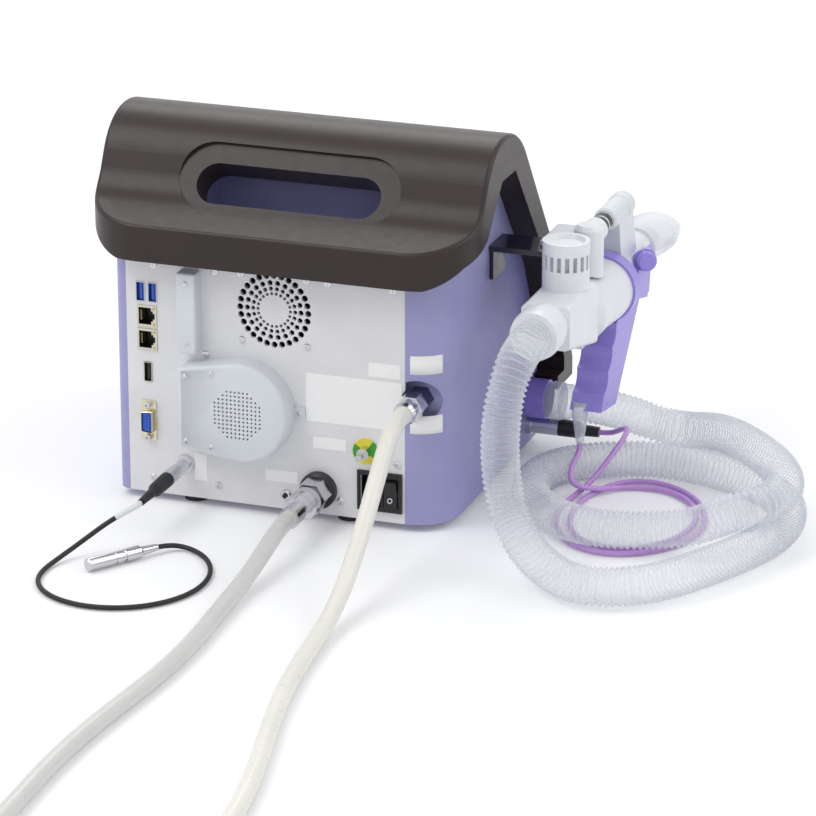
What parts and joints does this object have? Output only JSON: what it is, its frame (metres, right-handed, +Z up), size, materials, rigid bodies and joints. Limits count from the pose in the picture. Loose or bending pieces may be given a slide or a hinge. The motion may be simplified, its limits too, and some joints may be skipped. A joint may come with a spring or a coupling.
{
  "type": "multiple breath washout system",
  "caption": "Bench lung-function analyser with a peaked carrying hood, rear connector panel, gas hoses and a side-held breathing handset on a corrugated hose.",
  "frame": {"origin": "on the table under the middle of the unit and its handset, cords left out", "axes": "+Z up, -Y towards the rear connector panel's viewer, +X towards the handset's side"},
  "size_m": [0.5201, 1.0657, 0.28],
  "materials": {
    "hood_dark": "satin dark grey-brown",
    "lavender": "satin lavender",
    "panel_grey": "fine-textured light grey",
    "light_grey": "satin light grey",
    "white": "smooth white",
    "purple": "satin purple",
    "dark_gloss": "gloss black-blue",
    "black": "satin black",
    "rubber": "matt black",
    "chrome": "polished",
    "steel": "brushed",
    "earth": "green and yellow",
    "clear_hose": "clear soft plastic",
    "ivory_hose": "ivory soft plastic",
    "cable_purple": "soft purple",
    "cable_black": "soft black",
    "clear": "translucent",
    "board": "circuit board",
    "blue": "blue plastic insert in metal shell"
  },
  "bodies": {
    "unit": {"base_tray": "steel", "rear_panel": "panel_grey", "left_casing": "lavender", "right_casing": "lavender", "front_cover": "light_grey", "top_hood": "hood_dark", "handle_well": "lavender", "rubber_feet": "rubber", "fan_frame": "black", "panel_screws": "chrome", "duct_cover": "light_grey", "grille_cover": "light_grey", "usb_sockets": "blue", "network_sockets": "steel", "video_socket": "steel", "screen_socket": "blue", "mains_inlet": "black", "earth_pin": "chrome", "earth_washer": "earth", "test_gas_port": "black", "oxygen_port": "black", "power_supply": "steel", "main_board": "board", "gas_analyser": "steel", "test_gas_coupler": "chrome", "test_gas_hose": "clear_hose", "test_gas_hose_coil": "clear_hose", "test_gas_hose_end": "chrome", "oxygen_nut": "chrome", "oxygen_hose": "ivory_hose", "oxygen_hose_coil": "ivory_hose", "oxygen_hose_end": "chrome", "probe_socket": "chrome", "probe_plug": "chrome", "probe_plug_boot": "black", "probe_cable": "cable_black", "probe_barrel": "chrome", "holder_arm": "dark_gloss", "holder_cradle": "light_grey", "handset_grip": "purple", "valve_body": "white", "hose_collar": "white", "flow_housing": "white", "lock_ring": "purple", "sampling_elbow": "white", "airway_adapter": "clear", "sensor_body": "light_grey", "side_port": "purple", "port_connector": "clear", "handset_plug": "chrome", "handset_plug_boot": "black", "grip_strain_relief": "clear", "handset_cable": "cable_purple", "breathing_hose": "clear_hose"},
    "fan": {"fan_rotor": "black"},
    "rocker": {"power_rocker": "black"},
    "sleeve": {"coupler_sleeve": "chrome"},
    "knob": {"clamp_knob": "purple"},
    "mouthpiece_body": {"mouthpiece": "clear"},
    "drum": {"valve_drum": "white"}
  },
  "joints": [
    {"name": "fan_spin", "type": "hinge", "parent": "unit", "child": "fan", "pos_m": [-0.039, -0.153, 0.1567], "axis": [0, 1, 0], "continuous": true},
    {"name": "rocker_tilt", "type": "hinge", "parent": "unit", "child": "rocker", "pos_m": [0.0497, -0.161, 0.0285], "axis": [1, 0, 0], "range_deg": [-14, 0]},
    {"name": "sleeve_slide", "type": "slide", "parent": "unit", "child": "sleeve", "axis": [0, 1, 0], "range_m": [0, 0.004], "stiffness_N_per_m": 300, "springref_m": -0.001},
    {"name": "knob_turn", "type": "hinge", "parent": "unit", "child": "knob", "pos_m": [0.1773, 0.0413, 0.1559], "axis": [0.5736, -0.8192, 0], "range_deg": [0, 540]},
    {"name": "mouthpiece_pull", "type": "slide", "parent": "unit", "child": "mouthpiece_body", "axis": [0, 1, 0], "range_m": [0, 0.02]},
    {"name": "drum_twist", "type": "hinge", "parent": "unit", "child": "drum", "pos_m": [0.1565, -0.09, 0.174], "axis": [0, 0, 1], "range_deg": [-30, 0]}
  ]
}
